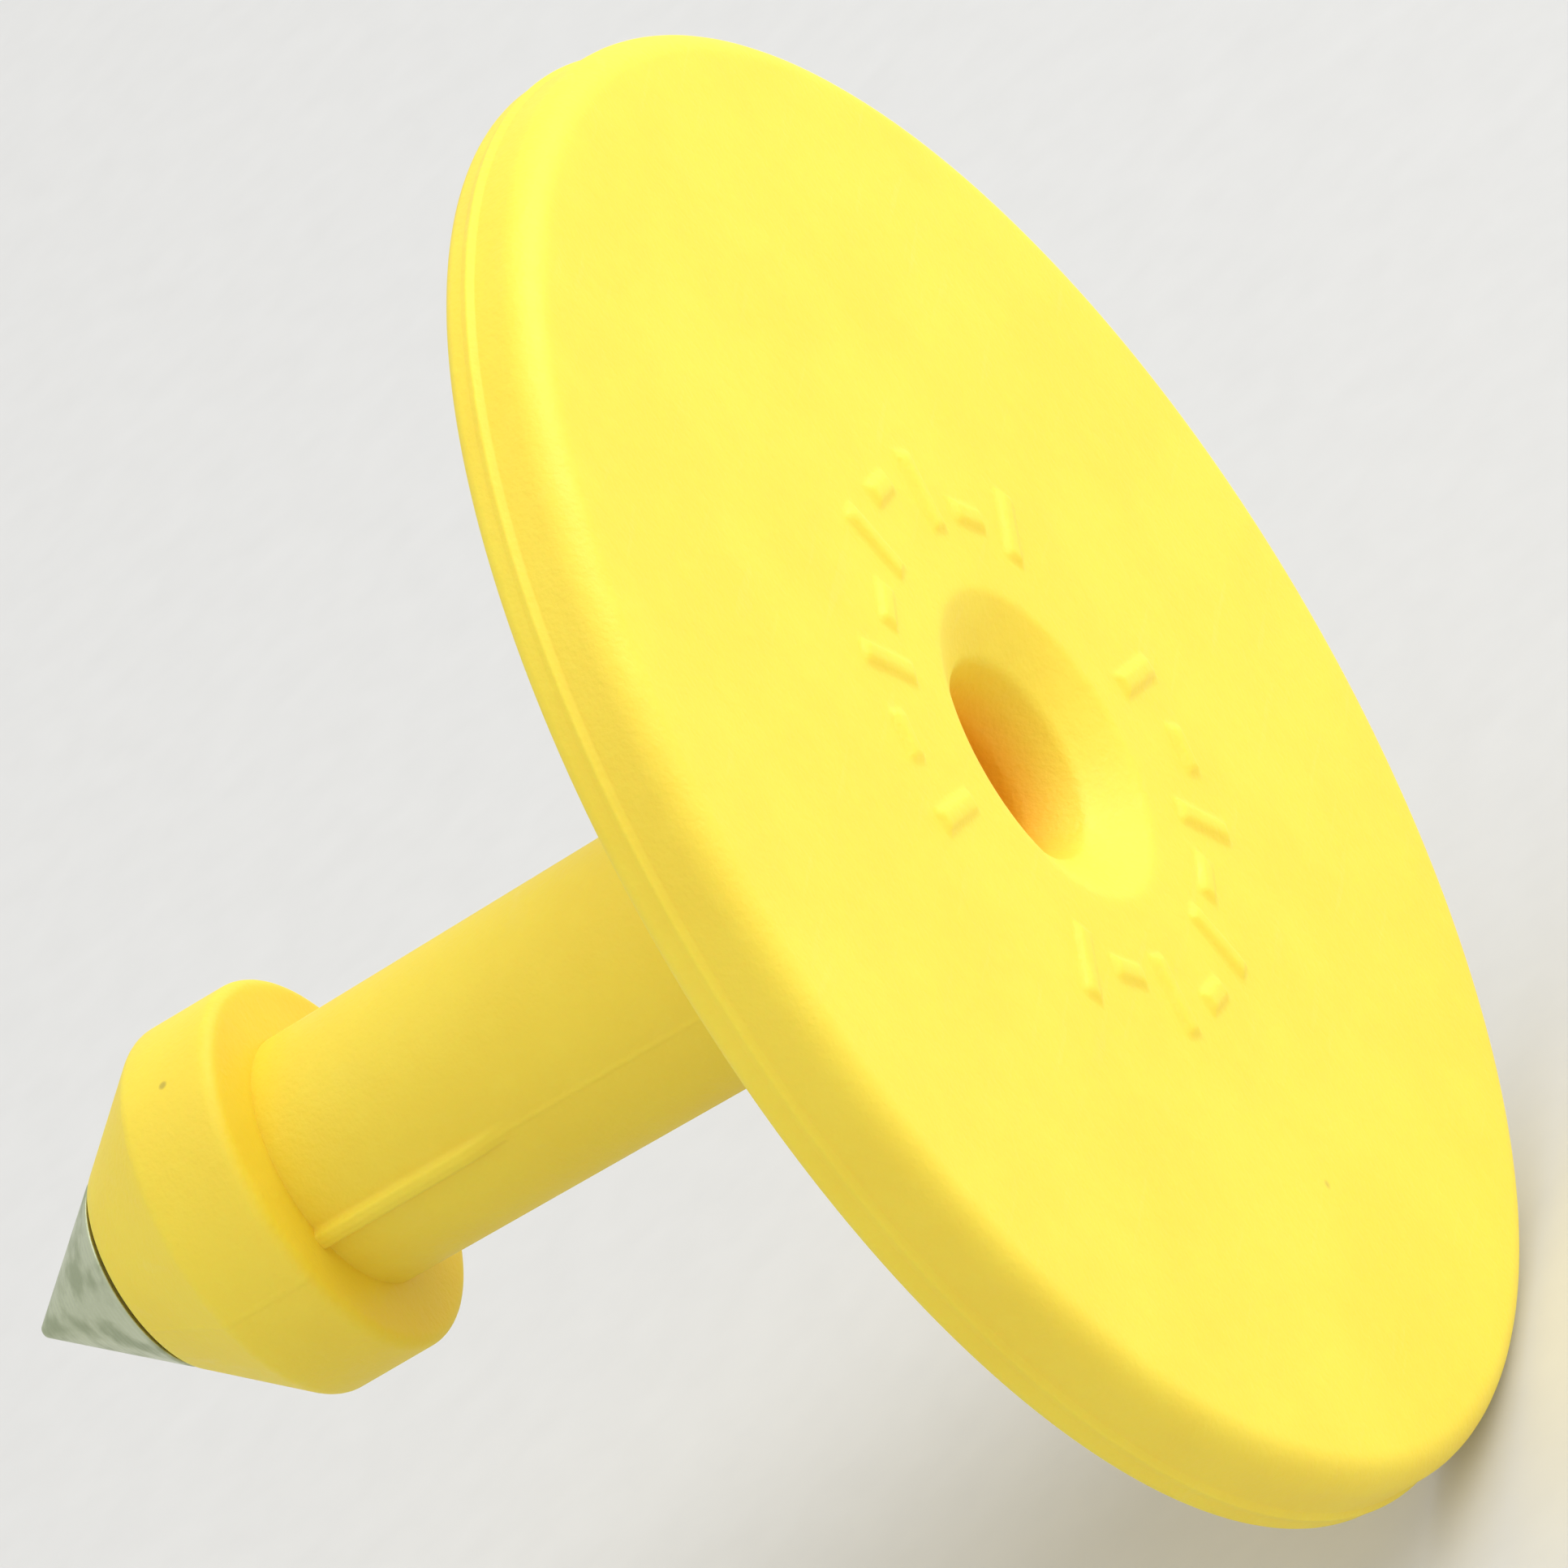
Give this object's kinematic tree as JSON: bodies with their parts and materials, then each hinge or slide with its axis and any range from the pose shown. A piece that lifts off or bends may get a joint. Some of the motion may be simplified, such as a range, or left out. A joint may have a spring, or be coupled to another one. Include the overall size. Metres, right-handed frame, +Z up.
{
  "type": "ear tag male button",
  "caption": "Round yellow button with a hollow stem and a barbed conical head that ends in a hard grey piercing tip; the male half of a two-piece livestock ear tag.",
  "frame": {"origin": "on the stud's axis, in the plane of the disc's back face, where the neck starts", "axes": "+Y along the stud's axis, from the disc towards the tip; -Y out of the needle hole's mouth; +Z up, with the axis level as it is in a worn tag; the mould's parting plane and the two webs lie in the XY plane"},
  "size_m": [0.0285, 0.0224, 0.0284],
  "materials": {
    "stud_polyurethane": "satin moulded polyurethane, fine spark-eroded texture",
    "tip_metal": "dull satin zinc alloy"
  },
  "bodies": {
    "root": {"stud_body": "stud_polyurethane", "piercing_tip": "tip_metal"}
  },
  "joints": []
}
